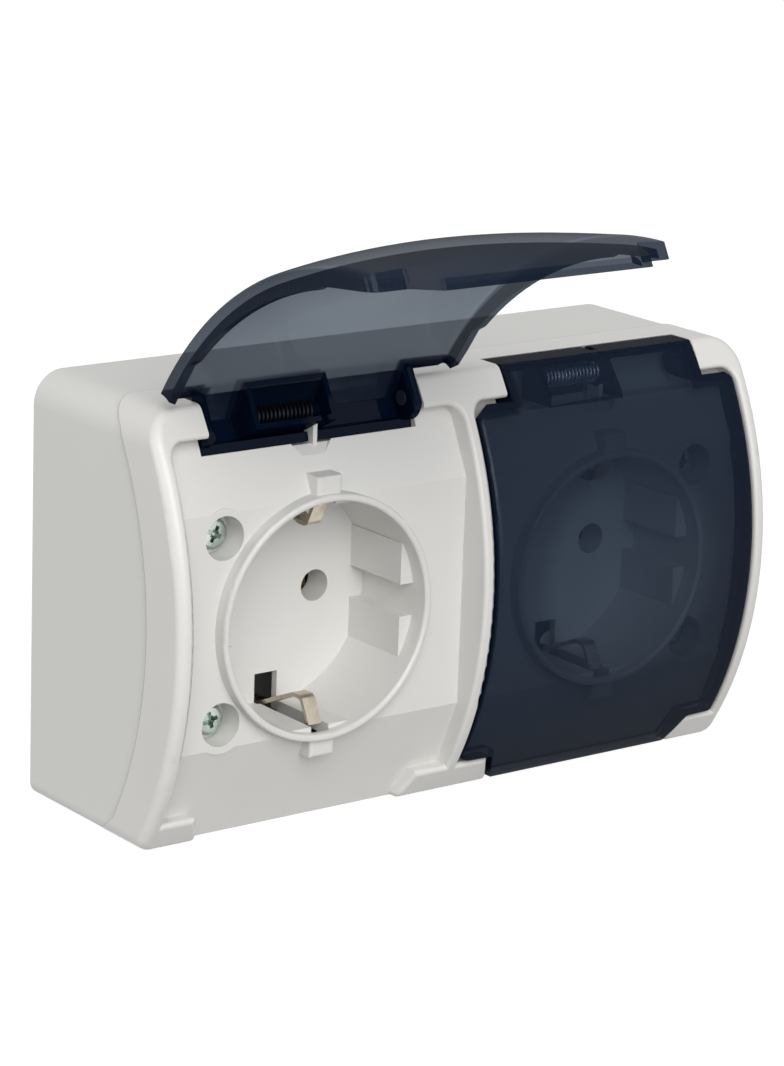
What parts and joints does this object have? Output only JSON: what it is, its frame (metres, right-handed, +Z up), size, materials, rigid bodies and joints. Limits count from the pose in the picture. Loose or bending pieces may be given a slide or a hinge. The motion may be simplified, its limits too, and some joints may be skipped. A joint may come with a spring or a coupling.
{
  "type": "outdoor weatherproof socket",
  "caption": "Surface-mounted outdoor power socket with round earthed cups side by side, each under its own sprung smoked lid, one lid shown open",
  "frame": {"origin": "centre of the flat back face, at the wall", "axes": "+X to the right seen from the front, +Y into the wall, +Z up; the back face is the plane y = 0"},
  "size_m": [0.1242, 0.094, 0.1061],
  "materials": {
    "cover_plastic": "light grey moulded plastic, satin",
    "box_plastic": "light grey moulded plastic, matte",
    "seal_rubber": "soft black rubber",
    "screw_steel": "plated steel",
    "grommet_rubber": "soft grey rubber",
    "lid_plastic": "smoked see-through plastic, glossy",
    "spring_steel": "bright spring wire",
    "insulator_plastic": "dark moulded plastic",
    "terminal_steel": "plated steel",
    "clip_metal": "plated strip with a warm tone",
    "contact_brass": "bright brass strip"
  },
  "bodies": {
    "housing": {"front_cover": "cover_plastic", "rear_box": "box_plastic", "cover_seal": "seal_rubber", "cover_screws": "screw_steel", "cable_grommet": "grommet_rubber", "insulator_screws": "screw_steel", "left_insulator": "insulator_plastic", "right_insulator": "insulator_plastic", "left_terminal_screws": "terminal_steel", "right_terminal_screws": "terminal_steel", "left_earth_bracket": "clip_metal", "right_earth_bracket": "clip_metal", "left_line_contact": "contact_brass", "left_neutral_contact": "contact_brass", "right_line_contact": "contact_brass", "right_neutral_contact": "contact_brass", "line_link": "contact_brass", "neutral_link": "contact_brass", "earth_link": "contact_brass"},
    "left_lid": {"left_lid": "lid_plastic", "left_lid_spring": "spring_steel"},
    "right_lid": {"right_lid": "lid_plastic", "right_lid_spring": "spring_steel"}
  },
  "joints": [
    {"name": "left_lid_hinge", "type": "hinge", "parent": "housing", "child": "left_lid", "pos_m": [-0.03024, -0.03258, 0.03312], "axis": [-1, 0, 0], "range_deg": [-118.5, 0], "stiffness_Nm_per_rad": 0.01, "springref_deg": -126.05, "deforming": ["left_lid_spring"]},
    {"name": "right_lid_hinge", "type": "hinge", "parent": "housing", "child": "right_lid", "pos_m": [0.03024, -0.03258, 0.03312], "axis": [-1, 0, 0], "range_deg": [0, 118.5], "stiffness_Nm_per_rad": 0.01, "springref_deg": -8.59, "deforming": ["right_lid_spring"]}
  ]
}
